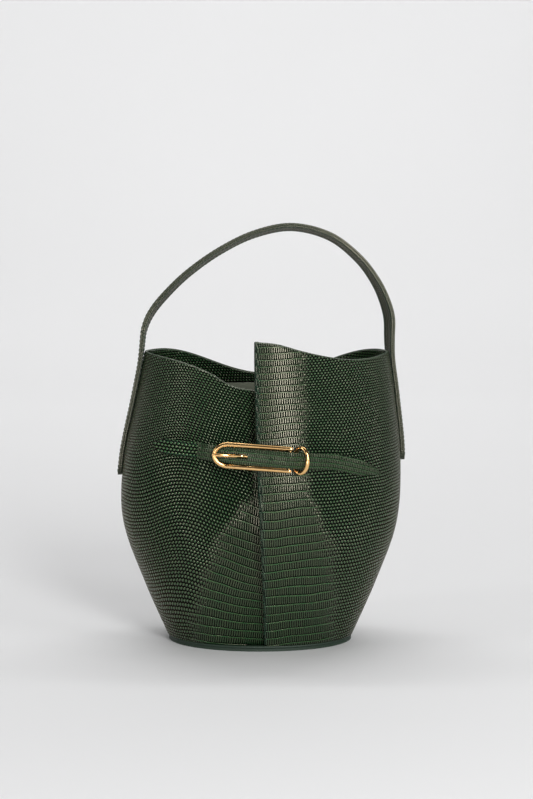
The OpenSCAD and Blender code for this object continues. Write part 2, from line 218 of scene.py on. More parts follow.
def rear_point(kind, f, z):
    x = oval_x(math.pi * f, z)
    return x, back_y(x, z)


def lining_point(kind, f, z):
    x = oval_x(2 * math.pi * (f % 1), z)
    if f % 1 <= 0.5:
        return x, back_y(x, z)
    far = fold_at(z) + PLEAT_W + 14
    bridge = right_y(x, z) + pleat_depth(z) * smooth(1 - (x - far) / 35)
    return x, np.where(x < far, left_y(x, z), bridge)


# ---- Rims -----------------------------------------------------------------------------------------


def right_rim(x):
    return spline([PEAK_Z, 258.7, 253.2, 248.3, 245, 244.8, SIDE_RIM_Z], (x + 5) / 114)


def left_rim(x):
    return spline([SIDE_RIM_Z, 245.5, 241.5, 234.5, 223.5, LEFT_LOW_Z], (x + 97) / 95)


def front_rim(kind, f, x):
    if kind in ("right", "outer"):
        return right_rim(x)
    if kind == "left":
        return left_rim(x)
    done = {"under": 0.25 * f, "inner": 0.25 + 0.5 * f, "lower": 0.75 + 0.25 * f}[kind]
    return mix(PEAK_Z, LEFT_LOW_Z, done)


def rear_rim(kind, f, x):
    return SIDE_RIM_Z - 25 * smooth(1 - abs(x - 8) / 95)


# ---- Mesh building --------------------------------------------------------------------------------


def loft(name, sections, uv=None, closed=False, attributes=None):
    """A solid from closed cross-sections (count, points, xyz) in millimetres, with UVs in millimetres.
    uv has one more column than the section has points, and one more row if the loft is closed."""
    count, size = sections.shape[:2]
    spans = count if closed else count - 1
    k = np.repeat(np.arange(spans), size)
    m = np.tile(np.arange(size), spans)
    k1 = (k + 1) % count
    m1 = (m + 1) % size
    quads = np.stack([k * size + m, k1 * size + m, k1 * size + m1, k * size + m1], axis=1)
    faces = quads.tolist()
    if not closed:
        faces.append(list(range(size)))
        faces.append([(count - 1) * size + j for j in reversed(range(size))])
    mesh = bpy.data.meshes.new(name)
    mesh.from_pydata((sections.reshape(-1, 3) * MM).tolist(), [], faces)
    if uv is not None:
        corners = np.stack([uv[k, m], uv[k + 1, m], uv[k + 1, m + 1], uv[k, m + 1]], axis=1).reshape(-1, 2)
        if not closed:
            corners = np.concatenate([corners, uv[0, :size], uv[count - 1, :size][::-1]])
        layer = mesh.uv_layers.new(name="millimetres")
        layer.data.foreach_set("uv", corners.astype(np.float32).ravel())
    for key, values in (attributes or {}).items():
        layer = mesh.attributes.new(key, "FLOAT", "POINT")
        layer.data.foreach_set("value", values.astype(np.float32).ravel())
    mesh.polygons.foreach_set("use_smooth", [True] * len(mesh.polygons))
    mesh.validate()
    obj = bpy.data.objects.new(name, mesh)
    bpy.context.scene.collection.objects.link(obj)
    bpy.context.view_layer.objects.active = obj
    return obj


def face_outward(obj):
    """Turns the mesh inside out if its faces look inwards."""
    mesh = obj.data
    volume = 0
    mesh.calc_loop_triangles()
    points = [v.co for v in mesh.vertices]
    for t in mesh.loop_triangles:
        a, b, c = (points[i] for i in t.vertices)
        volume += a.dot(b.cross(c))
    if volume < 0:
        mesh.flip_normals()
    return obj


def shell(point, stations, rim, z0, drop, depth, t, rows, closed=False):
    """A leather wall that follows point(kind, f, z), with a rounded top edge and even thickness t. Gives its
    sections, the way round at each point, the heights, and 1 on the rounded edge."""
    count = len(stations)
    cap = 7
    inner_rows = max(6, rows // 3)
    turn = np.linspace(0, math.pi, cap)
    r = t / 2
    sections = []
    uv = []
    edge_mask = []

    def at(i, z):
        kind, f = stations[i % count]
        return np.stack(point(kind, f, z), axis=-1)

    for i, (kind, f) in enumerate(stations):
        x_top = float(point(kind, f, np.float64(TOP_Z))[0])
        top = float(rim(kind, f, x_top)) - drop
        z = np.concatenate([np.linspace(z0, top - r, rows)[:-1], top - r + r * np.sin(turn),
                            np.linspace(top - r, z0, inner_rows)[1:]])
        inward = np.concatenate([np.zeros(rows - 1), r - r * np.cos(turn), np.full(inner_rows - 1, t)])
        here = at(i, z)
        if not closed and i in (0, count - 1):
            out = np.tile([1.0 if i == 0 else -1.0, 0.0], (len(z), 1))
        else:
            d = unit(at(i + 1, z) - at(i - 1, z))
            out = np.stack([-d[:, 1], d[:, 0]], axis=1)
            if point is not front_point:
                out = -out
        plan = here - (depth + inward)[:, None] * out
        sections.append(np.column_stack([plan, z]))
        mask = np.zeros(len(z))
        mask[rows:rows - 2 + cap] = 1
        edge_mask.append(mask)
        uv.append(z)
    sections = np.array(sections)
    steps = np.linalg.norm(np.diff(sections[:, :, :2], axis=0), axis=2)
    arc = np.concatenate([np.zeros((1, sections.shape[1])), np.cumsum(steps, axis=0)])
    return sections, arc, np.array(uv), np.array(edge_mask)


# ---- Materials ------------------------------------------------------------------------------------


class Nodes:
    """Short names for the nodes that a material needs."""

    def __init__(self, name):
        self.material = bpy.data.materials.new(name)
        self.material.use_nodes = True
        self.tree = self.material.node_tree
        self.shader = self.tree.nodes["Principled BSDF"]

    def put(self, kind, **inputs):
        node = self.tree.nodes.new(kind)
        for key, value in inputs.items():
            self.set(node.inputs[key.replace("_", " ")], value)
        return node

    def set(self, socket, value):
        if isinstance(value, bpy.types.NodeSocket):
            self.tree.links.new(value, socket)
        elif value is not None:
            socket.default_value = value

    def math(self, op, a, b=None, c=None):
        node = self.tree.nodes.new("ShaderNodeMath")
        node.operation = op
        for socket, value in zip(node.inputs, (a, b, c)):
            self.set(socket, value)
        return node.outputs[0]

    def step(self, low, high, v):
        """0 below low, 1 above high, smooth between them."""
        node = self.tree.nodes.new("ShaderNodeMapRange")
        node.interpolation_type = "SMOOTHSTEP"
        for key, value in (("Value", v), ("From Min", low), ("From Max", high)):
            self.set(node.inputs[key], value)
        return node.outputs[0]

    def mix(self, a, b, v, kind="MIX"):
        node = self.tree.nodes.new("ShaderNodeMix")
        node.data_type = "RGBA"
        node.blend_type = kind
        for index, value in ((0, v), (6, a), (7, b)):
            self.set(node.inputs[index], value)
        return node.outputs[2]

    def blend(self, a, b, v):
        rest = self.math("SUBTRACT", 1.0, v)
        return self.math("ADD", self.math("MULTIPLY", a, rest), self.math("MULTIPLY", b, v))

    def noise(self, vector, scale, detail=3.0):
        node = self.put("ShaderNodeTexNoise", Vector=vector, Scale=scale, Detail=detail)
        return node.outputs["Fac"]

    def random(self, a, b):
        joined = self.put("ShaderNodeCombineXYZ", X=a, Y=b).outputs[0]
        return self.put("ShaderNodeTexWhiteNoise", Vector=joined).outputs["Value"]

    def attribute(self, name):
        node = self.tree.nodes.new("ShaderNodeAttribute")
        node.attribute_name = name
        return node.outputs["Fac"]

    def place(self):
        return self.tree.nodes.new("ShaderNodeTexCoord").outputs["Object"]

    def bump(self, height, distance, strength=1.0, under=None):
        node = self.put("ShaderNodeBump", Height=height, Distance=distance, Strength=strength)
        if under is not None:
            self.set(node.inputs["Normal"], under)
        return node.outputs[0]


def color(r, g, b):
    return (r, g, b, 1.0)


def scales(n, u, v, width, height):
    """Staggered cells. Gives how far a point is from the cell's middle (0) to its side (1), how far up it is
    from the cell's bottom (-1) to its top (1), and the cell's random number."""
    row_at = n.math("DIVIDE", v, height)
    row = n.math("FLOOR", row_at)
    stagger = n.math("MULTIPLY", n.math("MODULO", row, 2.0), 0.5)
    shifted = n.math("ADD", n.math("DIVIDE", u, width), stagger)
    cell = n.math("FLOOR", shifted)
    along = n.math("MULTIPLY", n.math("SUBTRACT", shifted, cell), 2.0)
    across = n.math("ABSOLUTE", n.math("SUBTRACT", along, 1.0))
    up = n.math("SUBTRACT", n.math("MULTIPLY", n.math("SUBTRACT", row_at, row), 2.0), 1.0)
    return across, up, n.random(cell, row)


def long_rows(n, u, v, rib):
    """Height of long rows: a thin ridge along the top of each, and fine upright ribs below it."""
    across, up, luck = scales(n, u, v, *rib)
    ridge = n.math("MULTIPLY", n.step(0.55, 0.78, up), n.math("SUBTRACT", 1.0, n.step(0.88, 1.0, up)))
    gap = n.step(0.25, 0.9, across)
    comb = n.math("SUBTRACT", 0.50, n.math("MULTIPLY", gap, 0.42))
    ribs = n.math("MULTIPLY", comb, n.step(-1.0, -0.72, up))
    return n.math("MAXIMUM", ridge, ribs), luck


def lizard_material(name, bead, rib, tone=1.0, drift_mm=6.0, rim=(0.020, 0.046, 0.025)):
    """Green lizard grain: long ribbed rows where the belly attribute is 1, and small scales elsewhere.
    bead and rib are the width and height of a small scale and of a rib, in millimetres."""
    n = Nodes(name)
    place = n.place()
    uv = n.tree.nodes.new("ShaderNodeUVMap")
    uv.uv_map = "millimetres"
    parts = n.put("ShaderNodeSeparateXYZ", Vector=uv.outputs[0]).outputs
    drift = n.put("ShaderNodeTexNoise", Vector=place, Scale=18.0, Detail=2.0).outputs["Color"]
    sway = n.put("ShaderNodeSeparateXYZ", Vector=drift).outputs
    u = n.math("ADD", parts[0], n.math("MULTIPLY", n.math("SUBTRACT", sway[0], 0.5), drift_mm))
    v = n.math("ADD", parts[1], n.math("MULTIPLY", n.math("SUBTRACT", sway[1], 0.5), drift_mm))

    across, up, luck = scales(n, u, v, *bead)
    squareness = 2.3
    side_part = n.math("POWER", across, squareness)
    top_part = n.math("POWER", n.math("ABSOLUTE", up), squareness)
    reach = n.math("POWER", n.math("ADD", side_part, top_part), 1 / squareness)
    round_scale = n.math("SUBTRACT", 1.0, n.step(0.15, 1.04, reach))

    long_scale, rib_luck = long_rows(n, u, v, rib)

    ragged = n.math("MULTIPLY", n.math("SUBTRACT", n.noise(place, 48.0), 0.5), 0.9)
    zone = n.step(0.0, 1.0, n.math("ADD", n.attribute("belly"), ragged))
    height = n.blend(round_scale, long_scale, zone)
    fate = n.blend(luck, rib_luck, zone)
    edge = n.attribute("edge")

    clouds = n.noise(place, 9.0, 4.0)
    low, high, tan = (0.008, 0.052, 0.017), (0.018, 0.105, 0.030), (0.070, 0.110, 0.040)
    top = n.mix(color(*(c * tone for c in low)), color(*(c * tone for c in high)), clouds)
    top = n.mix(top, color(*(c * tone for c in tan)), n.math("MULTIPLY", fate, 0.35))
    # Painted shade: the colour darkens where the grain is low, to near-black in the grooves, and the ribs stay
    # darker than the ridges
    painted_groove_shade = color(0.0012, 0.0030, 0.0020)
    body = n.mix(painted_groove_shade, top, n.step(0.12, 1.0, height))
    # Painted sheen: a teal tint on the raised grain along the fold, where the fold attribute is 1
    fold_painted_sheen = n.math("MULTIPLY", n.attribute("fold"), n.math("MULTIPLY", height, 0.5))
    body = n.mix(body, color(0.010, 0.060, 0.062), fold_painted_sheen)
    body = n.mix(body, color(*rim), edge)
    n.set(n.shader.inputs["Base Color"], body)
    rough = n.math("ADD", 0.54, n.math("MULTIPLY", n.step(0.1, 0.5, height), -0.32))
    n.set(n.shader.inputs["Roughness"], rough)
    off_edge = n.math("SUBTRACT", 1.0, edge)
    deep = n.math("SUBTRACT", 1.0, n.step(0.05, 0.42, height))
    # Painted shade: a metallic groove with a near-black colour has no pale reflection, so the grooves stay dark
    n.set(n.shader.inputs["Metallic"], n.math("MULTIPLY", deep, off_edge))
    n.shader.inputs["Specular IOR Level"].default_value = 0.85
    n.shader.inputs["Specular Tint"].default_value = (1.0, 0.90, 0.72, 1.0)
    fine = n.noise(place, 2600.0, 2.0)
    plain = n.math("MULTIPLY", height, off_edge)
    skin = n.bump(fine, 0.00004)
    n.set(n.shader.inputs["Normal"], n.bump(plain, 0.0007, under=skin))
    return n.material


def plain_leather(name, base, light):
    """Smooth leather with a fine grain."""
    n = Nodes(name)
    place = n.place()
    tone = n.noise(place, 40.0, 5.0)
    n.set(n.shader.inputs["Base Color"], n.mix(color(*base), color(*light), tone))
    n.set(n.shader.inputs["Roughness"], n.math("ADD", 0.42, n.math("MULTIPLY", tone, 0.2)))
    grain = n.put("ShaderNodeTexVoronoi", Vector=place, Scale=1100.0).outputs["Distance"]
    n.set(n.shader.inputs["Normal"], n.bump(grain, 0.00012))
    return n.material


def suede_material(name):
    n = Nodes(name)
    place = n.place()
    nap = n.noise(place, 1500.0, 4.0)
    cloud = n.noise(place, 25.0, 5.0)
    tone = n.math("MULTIPLY", n.math("ADD", nap, cloud), 0.5)
    n.set(n.shader.inputs["Base Color"], n.mix(color(0.16, 0.18, 0.13), color(0.27, 0.29, 0.22), tone))
    n.shader.inputs["Roughness"].default_value = 0.95
    n.shader.inputs["Sheen Weight"].default_value = 0.35
    n.shader.inputs["Sheen Roughness"].default_value = 0.5
    n.set(n.shader.inputs["Normal"], n.bump(nap, 0.0003))
    return n.material


def gold_material(name):
    n = Nodes(name)
    place = n.place()
    haze = n.noise(place, 60.0, 4.0)
    n.set(n.shader.inputs["Base Color"], n.mix(color(0.86, 0.50, 0.19), color(0.95, 0.62, 0.28), haze))
    n.shader.inputs["Metallic"].default_value = 1.0
    n.set(n.shader.inputs["Roughness"], n.math("ADD", 0.07, n.math("MULTIPLY", haze, 0.08)))
    n.set(n.shader.inputs["Normal"], n.bump(n.noise(place, 300.0, 2.0), 0.000004))
    return n.material


def thread_material(name):
    n = Nodes(name)
    place = n.place()
    twist = n.put("ShaderNodeTexWave", Vector=place, Scale=900.0, Distortion=1.5).outputs["Fac"]
    n.set(n.shader.inputs["Base Color"], n.mix(color(0.010, 0.035, 0.020), color(0.03, 0.085, 0.05), twist))
    n.shader.inputs["Roughness"].default_value = 0.6
    n.set(n.shader.inputs["Normal"], n.bump(twist, 0.0001))
    return n.material


def board_material(name):
    n = Nodes(name)
    place = n.place()
    fibre = n.noise(place, 300.0, 6.0)
    n.set(n.shader.inputs["Base Color"], n.mix(color(0.34, 0.30, 0.24), color(0.50, 0.45, 0.37), fibre))
    n.shader.inputs["Roughness"].default_value = 0.85
    n.set(n.shader.inputs["Normal"], n.bump(fibre, 0.0001))
    return n.material


lizard = lizard_material("lizard_leather", bead=(2.9, 2.32), rib=(1.9, 5.8))
strap_lizard = lizard_material("strap_leather", bead=(3.0, 2.6), rib=(1.5, 3.7), tone=1.45, drift_mm=3.5)
handle_lizard = lizard_material("handle_leather", bead=(1.9, 3.4), rib=(1.5, 3.7), tone=0.6, drift_mm=1.5,
                                rim=(0.010, 0.022, 0.013))
smooth_leather = plain_leather("smooth_leather", (0.006, 0.018, 0.010), (0.014, 0.034, 0.018))
suede = suede_material("suede")
gold = gold_material("gold")
thread = thread_material("thread")
board = board_material("board")


def finish_piece(obj, material, slot, body, *nodes):
    obj.data.materials.append(material)
    face_outward(obj)
    if nodes:
        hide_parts(*nodes)
    if body:
        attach(obj, body)
    return obj


# ---- Leather walls --------------------------------------------------------------------------------

SIDE_STEPS = 70
FOLD_STEPS = 10
UNDER_STEPS = 4
front_stations = ([("right", i / SIDE_STEPS) for i in range(SIDE_STEPS + 1)]
                  + [("outer", i / FOLD_STEPS) for i in range(1, FOLD_STEPS + 1)]
                  + [("under", i / UNDER_STEPS) for i in range(1, UNDER_STEPS + 1)]
                  + [("inner", i / FOLD_STEPS) for i in range(1, FOLD_STEPS + 1)]
                  + [("lower", i / UNDER_STEPS) for i in range(1, UNDER_STEPS + 1)]
                  + [("left", i / SIDE_STEPS) for i in range(1, SIDE_STEPS + 1)])


def front_panel():
    """The pleated front. Its UVs are millimetres, with the height stretched so that the embossed rows lie
    closer together near the rim and slope away from the fold. The belly attribute marks the long rows."""
    sections, arc, v, edge = shell(front_point, front_stations, front_rim, WALL_Z0, 0, 0, WALL_T, 110)
    sections[:, :, 1] -= CLEAR / 4
    u = arc[SIDE_STEPS][None, :] - arc
    x, z = sections[:, :, 0], sections[:, :, 2]
    on_right = u > -1
    heights = np.linspace(0, 270, 271)
    pitch = mix(1.28, 0.93, smooth((heights - 110) / 90)) - 0.25 * smooth((22 - heights) / 22)
    v = np.interp(v, heights, np.concatenate([[0], np.cumsum(1 / pitch[1:])]))
    lean_right = v - 0.05 * u * smooth(u / 20)
    tilt = 0.05 + 0.25 * smooth((z - 5) / 80)
    lean_left = v + tilt * (x + 20) * smooth((x + 110) / 60)
    v_row = np.where(on_right, lean_right, lean_left)
    right_zone = smooth((mix(62, 36, smooth((z - 60) / 110)) - x) / 24 + 0.5)
    left_edge = np.interp(z, [0, 35, 70, 100, 125, 142], [-60, -53, -43, -31, -12, 6])
    left_zone = smooth((x - left_edge) / 30 + 0.5)
    belly = np.where(on_right, right_zone, np.where(x > -4, 1, left_zone))
    # Where the teal painted sheen goes: a narrow band along the fold
    fold = np.exp(-((u + 2.5) / 3.2) ** 2)
    uv = np.stack([u, v_row], axis=-1)
    uv = np.concatenate([uv, uv[:, -1:]], axis=1)
    obj = loft("front_panel_leather", sections, uv, attributes={"belly": belly, "fold": fold, "edge": edge})
    return finish_piece(obj, lizard, "leather", "bag", "front_panel")


def rear_panel():
    """The back, with one band of long rows down its middle."""
    stations = [("rear", i / 110) for i in range(111)]
    sections, arc, v, edge = shell(rear_point, stations, rear_rim, WALL_Z0, 0, 0, WALL_T, 90)
    sections[:, :, 1] += CLEAR / 4
    u = arc - arc[55][None, :]
    uv = np.stack([u, v], axis=-1)
    uv = np.concatenate([uv, uv[:, -1:]], axis=1)
    belly = smooth((38 - np.abs(u + 0.1 * (v - 120))) / 12 + 0.5)
    zero = np.zeros_like(belly)
    obj = loft("rear_panel_leather", sections, uv, attributes={"belly": belly, "fold": zero, "edge": edge})
    return finish_piece(obj, lizard, "leather", "bag", "rear_panel")


def rear_facing():
    stations = [("rear", mix(0.052, 0.948, i / 80)) for i in range(81)]
    sections, arc, v, edge = shell(rear_point, stations, rear_rim, FACING_LOW_Z, 1, WALL_T + CLEAR,
                                   LINING_T, 16)
    uv = np.stack([arc, v], axis=-1)
    uv = np.concatenate([uv, uv[:, -1:]], axis=1)
    zero = np.zeros_like(v)
    obj = loft("rear_facing_leather", sections, uv, attributes={"belly": zero, "fold": zero, "edge": edge})
    return finish_piece(obj, lizard, "leather", "bag", "rear_facing")


def lining():
    stations = [("lining", i / 180) for i in range(180)]
    sections = shell(lining_point, stations, lambda kind, f, x: FACING_LOW_Z, 8.0, 0.5,
                     WALL_T + 3 * CLEAR, LINING_T, 60, closed=True)[0]
    obj = loft("lining_suede", sections, closed=True)
    return finish_piece(obj, suede, "suede", "bag", "lining")


# ---- Base -----------------------------------------------------------------------------------------


def base_ring(grow, count=160):
    t = np.arange(count) / count * 2 * math.pi
    x = oval_x(t, 0.0)
    y = np.where(t <= math.pi, back_y(x, 0.0), front_y(x, 0.0))
    p = np.stack([x, y], axis=1)
    return p + grow * unit(p)


def ledge(x):
    """How far the welt reaches inwards to close the step that the wall makes beside the fold."""
    edge = fold_at(0)
    step = 1.1 * (pleat_depth(0) - bulge_at(0))
    return step * smooth((x + 60) / (edge + 60)) * smooth((edge + 12 - x) / 10)


def base_welt():
    """Rounded piping between the base and the wall."""
    sides = 14
    turn = np.arange(sides) / sides * 2 * math.pi
    half_w = WELT_W / 2
    half_h = (WELT_Z[1] - WELT_Z[0]) / 2
    wide = half_w * np.sign(np.cos(turn)) * np.abs(np.cos(turn)) ** 0.7
    high = half_h * np.sign(np.sin(turn)) * np.abs(np.sin(turn)) ** 0.7
    inner = np.cos(turn) < 0
    sections = []
    ring = base_ring(WELT_OUT - half_w)
    for p, outward in zip(ring, unit(ring)):
        reach = ledge(p[0]) if p[1] < 0 else 0
        plan = p + outward * (wide - reach * inner)[:, None]
        sections.append(np.column_stack([plan, WELT_Z[0] + half_h + high]))
    obj = loft("base_welt_leather", np.array(sections), closed=True)
    return finish_piece(obj, smooth_leather, "leather", "bag", "base_welt")


# ---- Handle ---------------------------------------------------------------------------------------

END_SIGN = [-1, 1]
PIVOT_Z = SIDE_RIM_Z + STRAP_W / 2 + 1


def side_x(s, y, z):
    n = spline(ROUNDNESS, z / TOP_Z)
    d = spline(FRONT_DEPTH if y < 0 else BACK_DEPTH, z / TOP_Z)
    return shift_at(z) + END_SIGN[s] * width_at(z) * (1 - (abs(y) / d) ** n) ** (1 / n)


def end_point(s, y, z, out):
    x = side_x(s, y, z)
    slope = side_x(s, y + 0.5, z) - side_x(s, y - 0.5, z)
    n = unit(np.array([1.0, -slope])) * END_SIGN[s]
    return np.array([x + n[0] * out, y + n[1] * out, z]), np.array([n[0], n[1], 0.0])


def pivot(s):
    p = end_point(s, END_Y[s], SIDE_RIM_Z, CLEAR + LAYER_T)[0]
    return np.array([p[0], p[1], PIVOT_Z])


PIVOTS = [pivot(0), pivot(1)]
ARCH = [[PIVOTS[0][0], PIVOT_Z], [-98.6, 266], [-93.4, 278.5], [-82, 293.5], [-61.5, 313.5], [-34, 333],
        [-4, 347.5], [28, 353.5], [60, 345.5], [84, 327], [99, 307], [107.5, 288], [111, 272],
        [PIVOTS[1][0], PIVOT_Z]]
ARCH_TWIST = [0, -2, -5, -6, -5, -4, -4, -5, -7, -10, -14, -19, -22, -20]


def rotate_about(p, origin, axis, angle):
    v = p - origin
    c, s = math.cos(angle), math.sin(angle)
    return origin + v * c + np.cross(axis, v) * s + axis * np.dot(axis, v) * (1 - c)


def arch_frame(u):
    p = spline(ARCH, u)
    if u <= 0:
        d = np.array([0.0, 1.0])
    elif u >= 1:
        d = np.array([0.0, -1.0])
    else:
        d = unit(spline(ARCH, u + 0.004) - spline(ARCH, u - 0.004))
    twist = math.radians(spline(ARCH_TWIST, u))
    n = np.array([-d[1], 0, d[0]])
    b = np.array([0, 1.0, 0])
    mid = np.array([p[0], mix(PIVOTS[0][1], PIVOTS[1][1], smooth(u)), p[1]])
    return mid, n * math.cos(twist) - b * math.sin(twist), b * math.cos(twist) + n * math.sin(twist)


def handle_frames():
    """Middle, outward and width directions of the whole strap, from its low left tip to its low right tip."""
    axis = unit(PIVOTS[1] - PIVOTS[0])
    frames = []

    def sewn(s, z):
        mid, n = end_point(s, END_Y[s], z, CLEAR + LAYER_T)
        if END_SIGN[s] < 0:
            b = np.array([0, 1.0, 0])
        else:
            b = np.array([-n[1], n[0], 0.0])
        return mid, n, b

    for z in np.linspace(END_LOW_Z[0], SIDE_RIM_Z - 1, 40):
        frames.append(sewn(0, z))
    for u in np.linspace(0.012, 0.988, 150):
        mid, n, b = arch_frame(u)
        ease = smooth(min(u, 1 - u) / 0.05)
        turn = -math.radians(LEAN) * (0.35 + 0.65 * ease)
        frames.append((rotate_about(mid, PIVOTS[0], axis, turn), rotate_about(n, np.zeros(3), axis, turn),
                       rotate_about(b, np.zeros(3), axis, turn)))
    for z in np.linspace(SIDE_RIM_Z - 1, END_LOW_Z[1], 40):
        frames.append(sewn(1, z))
    return eased(frames, 36)


def eased(frames, passes):
    """Smooths the bends of the strap where it leaves the walls."""
    data = np.array([np.concatenate(f) for f in frames])
    near_rim = np.exp(-((data[:, 2] - PIVOT_Z) / 17) ** 2)[1:-1, None]
    for _ in range(passes):
        middle = (data[:-2] + 2 * data[1:-1] + data[2:]) / 4
        data[1:-1] = mix(data[1:-1], middle, near_rim)
    return [(d[:3], unit(d[3:6]), unit(d[6:])) for d in data]


def strap_section(half, low, high, corner, bulge=0.0):
    """Rounded cross-section of a strap, as distances across and outward, with the outer face crowned."""
    points = []
    for cx, cy, start in ((half - corner, high - corner, 0), (-half + corner, high - corner, 90),
                          (-half + corner, low + corner, 180), (half - corner, low + corner, 270)):
        for k in range(5):
            a = math.radians(start + 90 * k / 4)
            points.append((cx + corner * math.cos(a), cy + corner * math.sin(a)))
        if start in (0, 180):
            y = high if start == 0 else low
            for k in range(1, 6):
                x = mix(half - corner, -half + corner, k / 6) * (1 if start == 0 else -1)
                crown = bulge * (1 - (x / half) ** 2) if start == 0 else 0
                points.append((x, y + crown))
    return np.array(points)


FRAMES = handle_frames()


def bend_at_rim(obj):
    """Bakes the piece's placement into its mesh."""
    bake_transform(obj)


def handle_layer(name, low, high, bulge, nodes):
    """One of the strap's two layers of leather, between the distances low and high from its middle."""
    sections = []
    uv = []
    along = 0.0
    edge = []
    for i, (mid, n, b) in enumerate(FRAMES):
        if i:
            along += float(np.linalg.norm(mid - FRAMES[i - 1][0]))
        tip = min(i, len(FRAMES) - 1 - i)
        half = STRAP_W / 2 - 3.2 * max(0.0, 1 - tip / 2.2) ** 2
        cut = strap_section(half, low, high, 0.55, bulge)
        sections.append(mid + cut[:, :1] * b + cut[:, 1:] * n)
        uv.append(np.column_stack([cut[:, 0], np.full(len(cut), along)]))
        edge.append(np.clip((np.abs(cut[:, 0]) - half + 0.3) / 0.25, 0, 1))
    uv = np.array(uv)[:, :, ::-1]
    uv = np.concatenate([uv, uv[:, :1]], axis=1)
    edge = np.array(edge)
    zero = np.zeros_like(edge)
    obj = loft(name, np.array(sections), uv, attributes={"belly": zero, "fold": zero, "edge": edge})
    finish_piece(obj, handle_lizard, "leather", None, *nodes)
    bend_at_rim(obj)


# ---- Stitches -------------------------------------------------------------------------------------


def stitches(name, places, length, thick):
    """Short rounded lengths of thread: each place is (middle, direction along, outward)."""
    rings = np.array([(-1, 0.25), (-0.9, 0.7), (-0.55, 1), (0.55, 1), (0.9, 0.7), (1, 0.25)])
    turn = np.arange(8) / 8 * 2 * math.pi
    verts = []
    faces = []
    for mid, along, out in places:
        across = np.cross(along, out)
        base = len(verts)
        for f, size in rings:
            arch = 0.35 * thick * (1 - f * f)
            for a in turn:
                verts.append((mid + along * f * length / 2 + out * (arch + math.sin(a) * size * thick / 2)
                              + across * math.cos(a) * size * thick / 2) * MM)
        for r in range(len(rings) - 1):
            for k in range(8):
                a = base + r * 8 + k
                b = base + r * 8 + (k + 1) % 8
                faces.append((a, b, b + 8, a + 8))
        faces.append(tuple(base + k for k in reversed(range(8))))
        faces.append(tuple(base + 8 * (len(rings) - 1) + k for k in range(8)))
    mesh = bpy.data.meshes.new(name)
    mesh.from_pydata([tuple(v) for v in verts], [], faces)
    mesh.polygons.foreach_set("use_smooth", [True] * len(mesh.polygons))
    obj = bpy.data.objects.new(name, mesh)
    bpy.context.scene.collection.objects.link(obj)
    return obj


def handle_stitches():
    """Thread along both edges of the strap, on its outer and inner faces."""
    mids = np.array([f[0] for f in FRAMES])
    steps = np.linalg.norm(np.diff(mids, axis=0), axis=1)
    along = np.concatenate([[0], np.cumsum(steps)])
    pitch = 3.6
    places = []
    for s in np.arange(4.0, along[-1] - 4.0, pitch):
        k = int(np.clip(np.searchsorted(along, s) - 1, 0, len(FRAMES) - 2))
        f = (s - along[k]) / (along[k + 1] - along[k])
        mid, n, b = (mix(FRAMES[k][j], FRAMES[k + 1][j], f) for j in range(3))
        n, b = unit(n), unit(b)
        d = unit(FRAMES[k + 1][0] - FRAMES[k][0])
        for side in (-1, 1):
            places.append((mid + b * side * (STRAP_W / 2 - 2.1) + n * (LAYER_T + 0.1), d, n))
            places.append((mid + b * side * (STRAP_W / 2 - 2.1) - n * (LAYER_T + 0.02), d, -n))
    obj = stitches("handle_thread", places, 2.5, 0.5)
    finish_piece(obj, thread, "thread", None, "handle_stitches")
    bend_at_rim(obj)


# ---- Belt -----------------------------------------------------------------------------------------


def to_bag(p):
    """From the belt's level layout to the bag: sloped about the middle of the bag."""
    a = math.radians(BELT_SLOPE)
    p = np.asarray(p, float)
    return np.stack([p[..., 0] * math.cos(a) + p[..., 2] * math.sin(a), p[..., 1],
                     BELT_Z - p[..., 0] * math.sin(a) + p[..., 2] * math.cos(a)], axis=-1)


def to_bag_direction(v):
    return to_bag(v) - np.array([0, 0, BELT_Z])


def droop(x):
    """How far the belt's free end hangs below the line of the buckle."""
    return 10 * max(0.0, (x - 42) / 59) ** 2


def wall_y(x):
    """The most forward point of the wall behind the belt at x."""
    best = 0.0
    for side in (-1, 0, 1):
        z = BELT_Z - x * math.tan(math.radians(BELT_SLOPE)) - droop(x) + side * BELT_W / 2
        y = left_y(x, z) if x < fold_at(z) else right_y(x, z)
        best = min(best, float(y))
    return best


def on_wall(x, gap=0.0):
    slope = wall_y(x + 0.5) - wall_y(x - 0.5)
    return [x, wall_y(x) - (CLEAR + BELT_T / 2) * math.sqrt(1 + slope * slope) - gap]


BELT_PATH = ([on_wall(x) for x in (-88, -78, -69, -60, -51)]
             + [[-42, -83.5], [-34, -88], [-24, -90.6], [-12, -92.9], [2, -94.1], [14, -94.9], [24.5, -95.7],
                [31, -93.9], [37.5, -91.5], [47, -87.2]]
             + [on_wall(x, 0.3) for x in (60, 70, 80, 90, 101)])
BELT_ENDS = (-88, 101)
# Place along the belt, length, height and floor of the prong's slot and of the spare hole
PRONG_SLOT = (-18, 16, 4, -82)
SPARE_HOLE = (9.5, 2.4, 2.4, -94.3)


def belt_half(x):
    left = math.sqrt(min(1, max(0, (x - BELT_ENDS[0]) / 11)))
    right = min(1, max(0, (BELT_ENDS[1] - x) / 18)) ** 0.62
    return BELT_W / 2 * min(left, right)


def belt_frames(start, end, count):
    """Middle, along and outward directions of the strap between two shares of its path."""
    frames = []
    for u in np.linspace(start, end, count):
        p = spline(BELT_PATH, u)
        d = unit(spline(BELT_PATH, min(1, u + 0.003)) - spline(BELT_PATH, max(0, u - 0.003)))
        frames.append((p, d, np.array([d[1], -d[0]])))
    return frames


